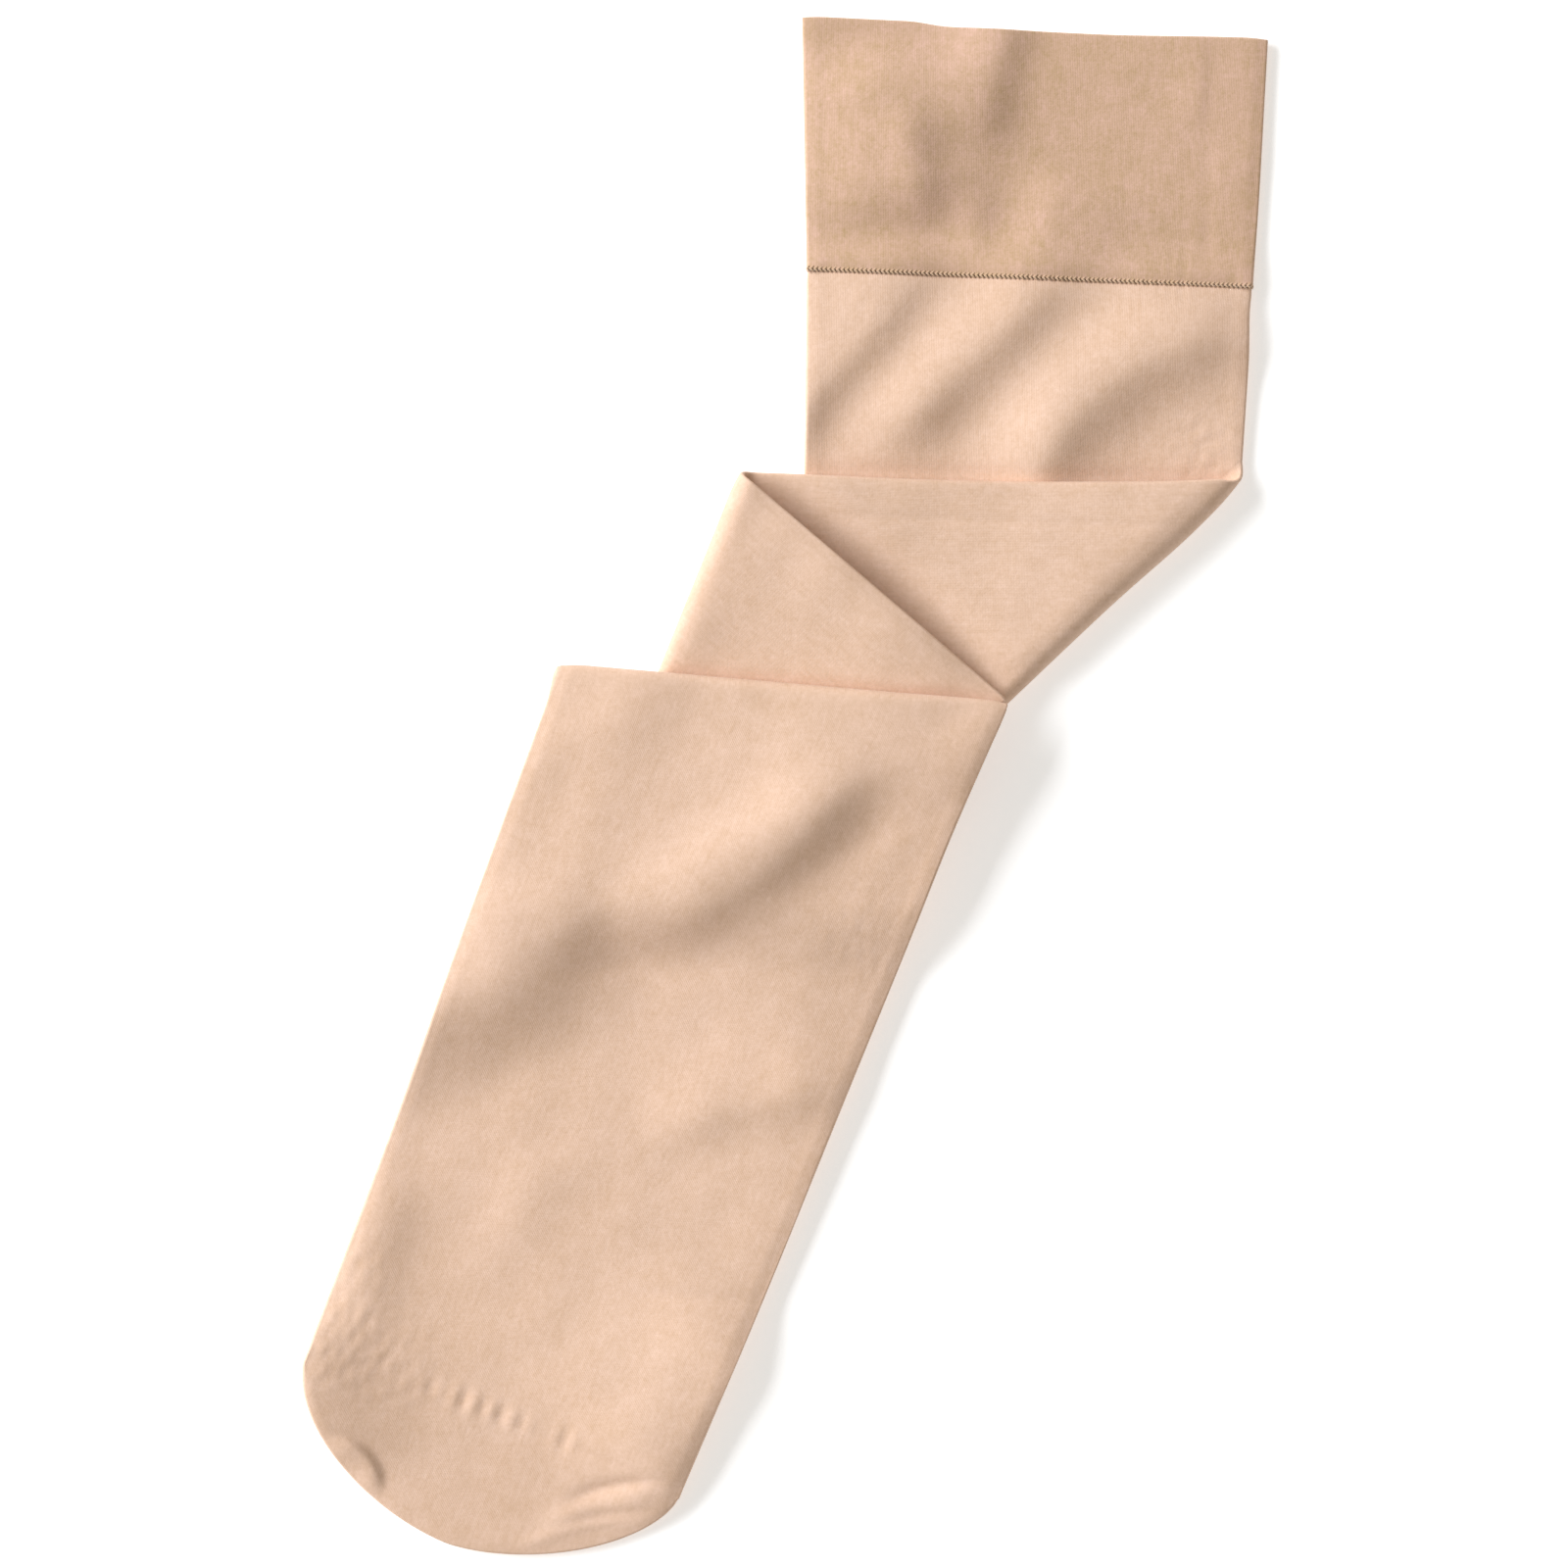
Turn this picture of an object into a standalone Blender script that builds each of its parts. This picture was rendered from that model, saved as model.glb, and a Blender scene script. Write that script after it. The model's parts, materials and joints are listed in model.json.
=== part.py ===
"""Prosthetic sock: one long knitted tube with a turned welt at its mouth and a closed toe.

It lies flat on its back. Below the welt the leg doubles over to the left, turns back to the right,
and then runs down to the toe over the top, so up to five stretches of flattened tube lie on each
other. Each stretch that shows keeps both walls of the tube, with a slit between them. The short
turn hidden under the last one is a plain rounded solid, which joins it to the rest.

Units are metres. +Z is up, +Y runs towards the mouth, and z = 0 is the surface the sock lies on.
The origin is under the middle of the laid-out sock.
"""

from math import cos, pi, sin

import bmesh
import bpy
import numpy as np

# Cloth
WALL = 0.0010  # the knitted wall
WELT_WALL = 0.0014  # the welt's wall, which is turned in and so doubled
SLIT = 0.0004  # left open inside the flattened tube
GAP = 0.0003  # between stretches that lie on each other, and at the two seams

HALF = WALL + SLIT / 2  # half the flattened leg's thickness
WELT_HALF = WELT_WALL + SLIT / 2
LAYER = 2 * HALF + GAP  # how much one stretch lifts the next
BEND = LAYER / 2  # radius of a fold, to the middle of the flattened tube
DRAPE = 0.024  # how far past an edge the cloth above it needs to come down

# Lines across the tube. Its two edges are named as they lie at the mouth.
#    line             left x   left y     right x  right y
LINES = {
    "mouth": np.array([[0.0050, 0.2056], [0.1294, 0.1996]]),
    "welt_seam": np.array([[0.0062, 0.1377], [0.1257, 0.1330]]),
    "first_fold": np.array([[0.0041, -0.0316], [0.1222, 0.0807]]),
    "second_fold": np.array([[-0.0579, -0.0303], [-0.0122, 0.0836]]),
    "third_fold": np.array([[-0.0474, -0.0392], [0.0602, 0.0219]]),
    "fourth_fold": np.array([[-0.0592, 0.0324], [0.0602, 0.0219]]),
    "toe_seam": np.array([[-0.1265, -0.1487], [-0.0269, -0.1877]]),
}

MOUTH_DIP = 0.0010  # how far the mouth sags between its corners

# Stretches of tube between those lines, and how each one ends there: cut at a seam, bent over into
# the next stretch, or rounded off.
#    stretch   from line      cut      to line        cut       rows  lies on
STRETCHES = {
    "welt": ("mouth", "seam", "welt_seam", "seam", 6, ()),
    "upper": ("welt_seam", "seam", "first_fold", "bend", 8, ()),
    "across": ("first_fold", "bend", "second_fold", "bend", 7, ("upper",)),
    "back": ("second_fold", "bend", "third_fold", "round", 6, ("upper", "across")),
    "turn": ("third_fold", "round", "fourth_fold", "round", 5, ("upper", "across", "back")),
    "lower": ("fourth_fold", "round", "toe_seam", "seam", 20, ("upper", "across", "back", "turn")),
}

# Toe, down the lower leg from its seam
TOE_STRAIGHT = 0.0035  # from the seam to where the sides start to round
TOE_ROUND = 0.0340  # from there to the tip
TOE_LEFT_POWER = 2.0  # roundness of its left half: 2 would be an ellipse
TOE_RIGHT_POWER = 1.6
TOE_ROWS = 6

# Largest soft ridges in the upper wall
#    stretch   from x    from y    to x      to y     half width  height
RIDGES = (
    ("welt", 0.0170, 0.1990, 0.0300, 0.1480, 0.011, 0.0012),
    ("welt", 0.0760, 0.1960, 0.0590, 0.1450, 0.010, 0.0014),
    ("upper", 0.0250, 0.0980, 0.0620, 0.1240, 0.009, 0.0016),
    ("upper", 0.0700, 0.0960, 0.1060, 0.1170, 0.011, 0.0018),
    ("lower", -0.0890, -0.0600, -0.0180, -0.0180, 0.013, 0.0018),
    ("lower", -0.0290, -0.0860, 0.0220, -0.0620, 0.010, 0.0014),
    ("lower", -0.1080, -0.1130, -0.0800, -0.0960, 0.010, 0.0012),
    ("lower", -0.0600, -0.1560, -0.0260, -0.1480, 0.009, 0.0010),
)
RIDGE_TAPER = 0.25  # share of a ridge's length over which each end fades in

# Faces
COLUMNS = 14  # across one wall of the leg
TOE_COLUMNS = 14
ROUND_ANGLES = (pi / 2, pi / 4, 0.0, -pi / 4, -pi / 2)  # round an edge, from the upper wall to the lower
BEND_ANGLES = (0.0, pi / 6, pi / 3, pi / 2)  # rows into a fold from its apex
WELD = 1e-6

# The hidden turn
TURN_SHARE = 0.86  # of the true turn's size, so that the layers still part at their edges
TURN_BLUNT = 0.12  # how much of its sharp corner is left off
TURN_BITE = 0.0005  # how far it reaches into the two walls that it joins

# Finish
LEG_COLOUR = (0.80, 0.56, 0.42, 1.0)
WELT_COLOUR = (0.68, 0.45, 0.32, 1.0)  # the doubled welt is a shade deeper
ROUGHNESS = 0.85


def unit(vectors):
    return vectors / np.linalg.norm(vectors, axis=-1, keepdims=True)


def smooth(share):
    share = np.clip(share, 0.0, 1.0)
    return share * share * (3 - 2 * share)


def cross_2d(a, b):
    return a[..., 0] * b[..., 1] - a[..., 1] * b[..., 0]


def distance_to_line(points, line):
    """Distance of each point from the endless line through two others."""
    return np.abs(cross_2d(unit(line[1] - line[0]), points - line[0]))


def outline(stretch):
    """The corners of a stretch as it lies, in order. What lies on the upper leg may reach its welt."""
    first, _, last, _, _, _ = STRETCHES[stretch]
    start = LINES["mouth" if stretch == "upper" else first]
    return np.array([start[0], start[1], LINES[last][1], LINES[last][0]])


def distance_outside(points, corners):
    """How far each point is outside a convex outline: 0 inside it."""
    nearest = np.full(points.shape[:-1], np.inf)
    turning = []
    for corner, following in zip(corners, np.roll(corners, -1, axis=0)):
        edge = following - corner
        if not edge.any():
            continue  # the turn has three sides
        offset = points - corner
        share = np.clip(offset @ edge / (edge @ edge), 0.0, 1.0)
        nearest = np.minimum(nearest, np.linalg.norm(offset - share[..., None] * edge, axis=-1))
        turning.append(cross_2d(edge, offset) > 0)
    inside = np.all(turning, axis=0) | ~np.any(turning, axis=0)
    return np.where(inside, 0.0, nearest)


def lift(points, stretch):
    """How high the stretches that a stretch lies on, and drapes off, hold it at each point."""
    height = np.zeros(points.shape[:-1])
    for under in STRETCHES[stretch][-1]:
        height += LAYER * (1 - smooth(distance_outside(points, outline(under)) / DRAPE))
    return height


def end_shares(cut, length):
    """Where the rows at one end of a stretch lie, as shares of its length, from the end inwards."""
    if cut == "bend":
        distances = [HALF + BEND * (1 - cos(angle)) for angle in BEND_ANGLES]
    else:
        distances = [{"seam": GAP / 2, "round": HALF}[cut]]
    return [distance / length for distance in distances]


def plan_rows(stretch, half):
    """The rows of a stretch in plan, each with its left and right end. Rows crowd where it bends."""
    first, first_cut, last, last_cut, count, _ = STRETCHES[stretch]
    start, end = LINES[first], LINES[last]
    opening = end_shares(first_cut, distance_to_line(end, start))
    closing = [1 - share for share in reversed(end_shares(last_cut, distance_to_line(start, end)))]
    between = [opening[-1] + (closing[0] - opening[-1]) * i / count for i in range(1, count)]
    rows = [start + (end - start) * np.reshape(share, (2, 1)) for share in opening + between + closing]
    sides = unit(end - start)
    for i, row in enumerate(rows):
        along = unit(row[1] - row[0])
        inset = half / np.abs(cross_2d(sides, along))  # a rounded side then meets the outline
        rows[i] = row + np.array([along * inset[0], -along * inset[1]])
    return np.array(rows)


def across_rows(rows):
    """Points at even steps along each row."""
    share = np.linspace(0.0, 1.0, COLUMNS + 1)[:, None]
    return rows[:, None, 0] + (rows[:, None, 1] - rows[:, None, 0]) * share


def stretch_grid(stretch, half=HALF):
    """The middle surface of a stretch, as rows of points from its left edge to its right."""
    first, first_cut, last, last_cut, _, _ = STRETCHES[stretch]
    plan = across_rows(plan_rows(stretch, half))
    height = half + lift(plan, stretch)
    for cut, line, way in ((first_cut, first, -1), (last_cut, last, 1)):
        if cut == "bend":
            into = np.clip(HALF + BEND - distance_to_line(plan, LINES[line]), 0.0, BEND)
            height += way * (BEND - np.sqrt(BEND**2 - into**2))
    return np.dstack([plan, height])


def joined(grids):
    """Stretches bent over into each other as one middle surface, sharing the row at each fold's apex."""
    whole = grids[0]
    for grid in grids[1:]:
        apex = (whole[-1:] + grid[:1]) / 2
        whole = np.concatenate([whole[:-1], apex, grid[1:]])
    return whole


def toe_grid():
    """The middle surface of the toe: from its seam each column runs on to the rounded rim."""
    left, right = LINES["toe_seam"]
    middle = (left + right) / 2
    across = unit(right - left)
    down = np.array([across[1], -across[0]])
    half_width = np.linalg.norm(right - left) / 2 - HALF
    place = np.sin(np.linspace(-pi / 2, pi / 2, TOE_COLUMNS + 1))  # columns crowd at the corners
    power = np.where(place < 0, TOE_LEFT_POWER, TOE_RIGHT_POWER)
    rim = TOE_STRAIGHT + (TOE_ROUND - HALF) * (1 - np.abs(place) ** power) ** (1 / power)
    rows = []
    for share in np.linspace(0.0, 1.0, TOE_ROWS + 1):
        reach = GAP / 2 + (rim - GAP / 2) * share
        plan = middle + np.outer(place * half_width, across) + np.outer(reach, down)
        rows.append(np.column_stack([plan, np.full(len(plan), HALF)]))
    return np.array(rows)


def turn_grid():
    """The middle surface of the hidden turn, short of the true one all round."""
    start, end = LINES["third_fold"].copy(), LINES["fourth_fold"].copy()
    centre = (start[0] + start[1] + end[0]) / 3
    for line in (start, end):
        line += (centre - line) * (1 - TURN_SHARE)
        line[1] += (line[0] - line[1]) * TURN_BLUNT
    count = STRETCHES["turn"][4]
    plan = across_rows(np.array([start + (end - start) * i / count for i in range(count + 1)]))
    return np.dstack([plan, HALF + lift(plan, "turn")])


def ridge_heights(grid, stretch):
    """Height of a stretch's soft ridges at each point of its middle surface."""
    total = np.zeros(grid.shape[:2])
    for where, x0, y0, x1, y1, half_width, height in RIDGES:
        if where != stretch:
            continue
        start, along = np.array([x0, y0]), np.array([x1 - x0, y1 - y0])
        offset = grid[..., :2] - start
        share = offset @ along / (along @ along)
        beside = np.abs(cross_2d(unit(along), offset)) / half_width
        fade_in = smooth((share + RIDGE_TAPER) / (2 * RIDGE_TAPER))
        fade_out = smooth((1 + RIDGE_TAPER - share) / (2 * RIDGE_TAPER))
        total += height * fade_in * fade_out * np.exp(-(beside**2))
    return total


class Skin:
    """One closed surface at an even distance round a middle surface, held as patches of points."""

    def __init__(self, grid, half, ridges, round_start, round_end):
        self.half = half
        self.facing = unit(np.cross(np.gradient(grid, axis=0), np.gradient(grid, axis=1)))
        down = np.gradient(grid, axis=0)
        across = np.gradient(grid, axis=1)
        right = unit(np.cross(self.facing[:, -1], down[:, -1]))
        left = unit(np.cross(down[:, 0], self.facing[:, 0]))
        ends = {}
        for row, is_round, way in ((0, round_start, -1), (-1, round_end, 1)):
            if is_round:
                out = way * unit(np.cross(across[row], self.facing[row]))
                right[row] = out[-1] = unit(right[row] + out[-1])
                left[row] = out[0] = unit(left[row] + out[0])
                ends[row] = out
        self.upper = self.points(grid, self.facing, 0.0, pi / 2, ridges)
        self.lower = self.points(grid, self.facing, 0.0, -pi / 2, ridges)
        self.right = self.rim(grid[:, -1], self.facing[:, -1], right, ridges[:, -1])
        self.left = self.rim(grid[:, 0], self.facing[:, 0], left, ridges[:, 0])
        self.ends = [self.rim(grid[row], self.facing[row], out, ridges[row]) for row, out in ends.items()]

    def points(self, middle, facing, out, angle, ridges):
        """Points at one angle round the cloth: up is square to it, and 0 is out past its edge."""
        moved = middle + self.half * (sin(angle) * facing + cos(angle) * out)
        moved[..., 2] += ridges * (1 + sin(angle) * facing[..., 2]) / 2
        return moved

    def rim(self, middle, facing, out, ridges):
        return np.stack([self.points(middle, facing, out, angle, ridges) for angle in ROUND_ANGLES], axis=1)

    def patches(self):
        return [self.upper, self.lower, self.right, self.left, *self.ends]

    def loop(self, row):
        """The closed loop of points round one row."""
        return np.concatenate([self.upper[row], self.right[row], self.lower[row, ::-1], self.left[row, ::-1]])


def mesh_of(name, patches):
    """Patches of points as one closed mesh, welded where they meet and facing out."""
    shape = bmesh.new()
    for patch in patches:
        rows, columns = patch.shape[:2]
        corners = [[shape.verts.new(point) for point in row] for row in patch]
        for i in range(rows - 1):
            for j in range(columns - 1):
                shape.faces.new((corners[i][j], corners[i][j + 1], corners[i + 1][j + 1], corners[i + 1][j]))
    bmesh.ops.remove_doubles(shape, verts=shape.verts, dist=WELD)
    bmesh.ops.dissolve_degenerate(shape, edges=shape.edges, dist=WELD)
    bmesh.ops.recalc_face_normals(shape, faces=shape.faces)
    mesh = bpy.data.meshes.new(name)
    shape.to_mesh(mesh)
    shape.free()
    mesh.shade_smooth()
    return mesh


def tube_mesh(name, grid, wall, ridges, open_start=False, open_end=False, rolled=False):
    """A flattened tube with its slit, open at one end or both. A rolled start is rounded over."""
    outer = Skin(grid, wall + SLIT / 2, ridges, not open_start, not open_end)
    inner = Skin(grid, SLIT / 2, ridges, not open_start, not open_end)
    patches = outer.patches() + inner.patches()
    for row, is_open in ((0, open_start), (-1, open_end)):
        if is_open:
            loops = [outer.loop(row), inner.loop(row)]
            if rolled and row == 0:
                beyond = unit(grid[0] - grid[1]).mean(axis=0) * wall / 2
                loops.insert(1, sum(loops) / 2 + beyond)
            patches.append(np.array(loops))
    return mesh_of(name, patches)


def material_of(name, colour):
    material = bpy.data.materials.new(name)
    material.use_nodes = True
    shader = material.node_tree.nodes["Principled BSDF"]
    shader.inputs["Base Color"].default_value = colour
    shader.inputs["Roughness"].default_value = ROUGHNESS
    shader.inputs["Metallic"].default_value = 0.0
    return material


def add_object(mesh, collection, colour):
    obj = bpy.data.objects.new(mesh.name, mesh)
    mesh.materials.append(material_of(mesh.name, colour))
    collection.objects.link(obj)
    return obj


def new_collection(name):
    collection = bpy.data.collections.new(name)
    bpy.context.scene.collection.children.link(collection)
    return collection


def make_welt(collection):
    grid = stretch_grid("welt", WELT_HALF)
    dip = np.sin(np.linspace(0.0, pi, grid.shape[1])) * MOUTH_DIP
    grid[0, :, 1] -= dip
    ridges = ridge_heights(grid, "welt")
    mesh = tube_mesh("welt", grid, WELT_WALL, ridges, open_start=True, open_end=True, rolled=True)
    return add_object(mesh, collection, WELT_COLOUR)


def make_leg(collection, helpers):
    """The folded tube from the welt to the third fold, joined by the turn to the tube above it."""
    grids, ridges = [], []
    for stretch in ("upper", "across", "back"):
        grids.append(stretch_grid(stretch))
        ridges.append(ridge_heights(grids[-1], stretch)[1 if len(grids) > 1 else 0 :])
    folded = tube_mesh("leg", joined(grids), WALL, np.concatenate(ridges), open_start=True)
    leg = add_object(folded, collection, LEG_COLOUR)

    grid = stretch_grid("lower")
    lower = tube_mesh("leg_lower", grid, WALL, ridge_heights(grid, "lower"), open_end=True)
    grid = turn_grid()
    turn_half = HALF + GAP + TURN_BITE
    turn = mesh_of("leg_turn", Skin(grid, turn_half, np.zeros(grid.shape[:2]), True, True).patches())
    for mesh in (turn, lower):
        helper = add_object(mesh, helpers, LEG_COLOUR)
        helper.hide_render = True
        helper.display_type = "WIRE"
        union = leg.modifiers.new("join_" + mesh.name, "BOOLEAN")
        union.operation = "UNION"
        union.object = helper
    return leg


def make_toe(collection):
    grid = toe_grid()
    mesh = tube_mesh("toe", grid, WALL, np.zeros(grid.shape[:2]), open_start=True)
    return add_object(mesh, collection, LEG_COLOUR)


def main():
    for obj in list(bpy.data.objects):
        bpy.data.objects.remove(obj)
    sock = new_collection("prosthetic_sock")
    helpers = new_collection("joined_pieces")
    make_welt(sock)
    make_leg(sock, helpers)
    make_toe(sock)


main()
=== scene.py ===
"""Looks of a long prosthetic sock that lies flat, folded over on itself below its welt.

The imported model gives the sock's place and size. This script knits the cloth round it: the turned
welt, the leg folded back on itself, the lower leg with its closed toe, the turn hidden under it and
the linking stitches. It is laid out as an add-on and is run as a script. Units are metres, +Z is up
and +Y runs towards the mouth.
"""

import json
from functools import partial
from math import cos, pi, radians, sin

import bmesh
import bpy
import numpy as np
from bpy.props import FloatProperty, FloatVectorProperty, IntProperty, PointerProperty
from bpy.types import Operator, Panel, PropertyGroup
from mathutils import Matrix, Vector


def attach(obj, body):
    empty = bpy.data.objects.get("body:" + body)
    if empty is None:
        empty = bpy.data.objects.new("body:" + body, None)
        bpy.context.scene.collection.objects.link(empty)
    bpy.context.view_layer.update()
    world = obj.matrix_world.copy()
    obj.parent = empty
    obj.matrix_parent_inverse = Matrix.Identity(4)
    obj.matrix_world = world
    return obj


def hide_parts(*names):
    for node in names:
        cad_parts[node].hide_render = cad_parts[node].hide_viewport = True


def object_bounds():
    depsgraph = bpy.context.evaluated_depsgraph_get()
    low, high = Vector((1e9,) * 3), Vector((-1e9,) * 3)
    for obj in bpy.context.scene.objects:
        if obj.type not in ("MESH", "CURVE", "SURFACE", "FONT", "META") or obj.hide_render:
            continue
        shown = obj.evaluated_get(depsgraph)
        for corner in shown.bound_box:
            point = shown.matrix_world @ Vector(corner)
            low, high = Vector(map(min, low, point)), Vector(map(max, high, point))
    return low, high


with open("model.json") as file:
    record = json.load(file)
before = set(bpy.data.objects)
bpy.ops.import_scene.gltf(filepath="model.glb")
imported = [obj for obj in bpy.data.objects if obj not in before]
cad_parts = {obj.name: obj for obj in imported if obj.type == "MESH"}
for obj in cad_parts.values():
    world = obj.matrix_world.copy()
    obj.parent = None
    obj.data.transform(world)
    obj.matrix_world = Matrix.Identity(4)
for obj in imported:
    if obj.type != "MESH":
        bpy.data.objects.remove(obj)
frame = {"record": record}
CAD_LOW, CAD_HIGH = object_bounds()
SLOT_COLOURS = {entry["slot"]: entry["base_color"] for entry in frame["record"]["materials"]}

bl_info = {
    "name": "Laid-Out Prosthetic Sock",
    "version": (1, 0, 0),
    "blender": (4, 5, 0),
    "location": "3D View > Sidebar > Sock",
    "description": "Knits a long prosthetic sock that lies folded over on itself",
    "category": "Add Mesh",
}

BODY = "root"

# Lines across the tube, measured from the middle of the sock. Its two edges are named as they lie at
# the mouth.
#    line             left x   left y     right x  right y
LINES = {
    "mouth": np.array([[0.0050, 0.2056], [0.1294, 0.1996]]),
    "welt_seam": np.array([[0.0062, 0.1377], [0.1257, 0.1330]]),
    "first_fold": np.array([[0.0041, -0.0316], [0.1222, 0.0807]]),
    "second_fold": np.array([[-0.0579, -0.0303], [-0.0122, 0.0836]]),
    "third_fold": np.array([[-0.0474, -0.0392], [0.0602, 0.0219]]),
    "fourth_fold": np.array([[-0.0592, 0.0324], [0.0602, 0.0219]]),
    "toe_seam": np.array([[-0.1265, -0.1487], [-0.0269, -0.1877]]),
}

# The layers hidden under the lower leg are tucked in short of its edges
BACK_SHORT = 0.6  # share of its left edge that the back stretch loses at its end
TURN_SHARE = 0.62  # size left of the turn between the third fold and the fourth
TURN_BLUNT = 0.12  # share of the turn's width cut off at its point


def shrunk_turn(third, fourth):
    """The two lines of the turn drawn in to its middle, with its point cut off."""
    centre = (third[0] + third[1] + fourth[0]) / 3
    lines = [centre + (line - centre) * TURN_SHARE for line in (third, fourth)]
    for line in lines:
        line[1] += (line[0] - line[1]) * TURN_BLUNT
    return lines


LINES["back_end"] = LINES["third_fold"].copy()
LINES["back_end"][0] += (LINES["second_fold"][0] - LINES["third_fold"][0]) * BACK_SHORT
LINES["turn_start"], LINES["turn_end"] = shrunk_turn(LINES["third_fold"], LINES["fourth_fold"])

# Stretches of the flattened tube between two of those lines, from the mouth on
STRETCHES = {
    "welt": ("mouth", "welt_seam"),
    "upper": ("welt_seam", "first_fold"),
    "across": ("first_fold", "second_fold"),
    "back": ("second_fold", "back_end"),
    "turn": ("turn_start", "turn_end"),
    "lower": ("fourth_fold", "toe_seam"),
}
FOLDS = {"first_fold", "second_fold", "fourth_fold"}
LAYERS = ("upper", "across", "back", "turn", "lower")  # each lies on those before it

# How far the cloth above takes to come down past each stretch's first line, right edge, last line
# and left edge
DRAPES = {
    "upper": (0.030, 0.030, 0.110, 0.120),
    "across": (0.085, 0.020, 0.140, 0.020),
    "back": (0.140, 0.030, 0.019, 0.030),
    "turn": (0.034, 0.050, 0.050, 0.140),
}

# How far a stretch's upper wall stands off the other one past its folds, how far in that takes, how
# far it stands off past its two edges, and how far its left and right edge curl up
STAND_OFF = {
    "welt": (0.0, 0.004, 0.0, 0.00032, 0.0001),
    "upper": (0.0006, 0.005, 0.0, 0.00022, 0.0003),
    "across": (0.0019, 0.008, 0.0002, 0.0, 0.0),
    "back": (0.0003, 0.006, 0.0002, 0.0, 0.0),
    "turn": (0.0, 0.004, 0.0, 0.0, 0.0),
    "lower": (0.0003, 0.005, 0.0001, 0.0, 0.00016),
}
CURL_REACH = 0.0032
BEAD_IN, BEAD_REACH = 0.0032, 0.0016  # where each edge's faint ridge stands, and half its width
RELIEF_ROUNDING = 0.0002  # how softly the upper wall comes to rest on the other

# Small shifts of the tube's two edges to the right: the share of the stretch's length where each is
# greatest, how much of that length it reaches, and the shift
#    stretch  edge  at    reach  shift
SWAYS = (
    ("upper", 0, 1.00, 0.35, -0.0011),
    ("welt", 1, 1.00, 0.22, -0.0005),
    ("upper", 1, 0.12, 0.17, -0.0008),
    ("across", 1, 0.50, 0.38, -0.0019),
    ("across", 1, 0.02, 0.09, 0.0013),
    ("lower", 0, 0.70, 0.30, 0.0008),
    ("lower", 1, 0.17, 0.12, -0.0008),
    ("lower", 1, 0.75, 0.25, 0.0007),
)
# A place where a fold bulges out: the share of its line, how much of the line that takes, how far out
FOLD_BULGES = {"first_fold": (0.88, 0.12, 0.0009)}

# Lines along which folded cloth springs up from what it lies on. Each raises one stretch and all that
# lie on it.
#    lowest     from x   from y   to x     to y     reach  height
LOFTS = (
    ("across", 0.1222, 0.0807, 0.0041, -0.0316, 0.050, 0.0030),
    ("across", -0.0122, 0.0836, 0.0850, 0.0815, 0.036, 0.0012),
    ("back", -0.0122, 0.0836, -0.0579, -0.0303, 0.014, 0.0005),
)

# Long ridges that lift both walls of one stretch and of all that lie on it, and soft creases in the
# wall that faces up. Each is a rounded ridge, or a groove where its height is below zero. Its left and
# right are as seen going from its start, and bow bends it to its left.
#    lowest   from x   from y   to x     to y     bow  left    right   height
RIDGES = (
    ("back", -0.0300, 0.0988, 0.0400, 0.0391, 0.0, 0.0090, 0.0300, 0.0040),
    ("back", 0.0060, 0.0681, 0.0450, 0.0349, 0.0, 0.0090, 0.0220, 0.0018),
    ("lower", -0.0610, -0.0445, -0.1330, -0.0740, 0.0, 0.0165, 0.0190, 0.0066),
    ("lower", 0.0150, 0.0002, -0.0340, -0.0384, 0.0036, 0.0085, 0.0130, 0.0034),
    ("lower", 0.0595, 0.0180, 0.0375, -0.0420, 0.0, 0.0145, 0.0140, 0.0028),
)
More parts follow.
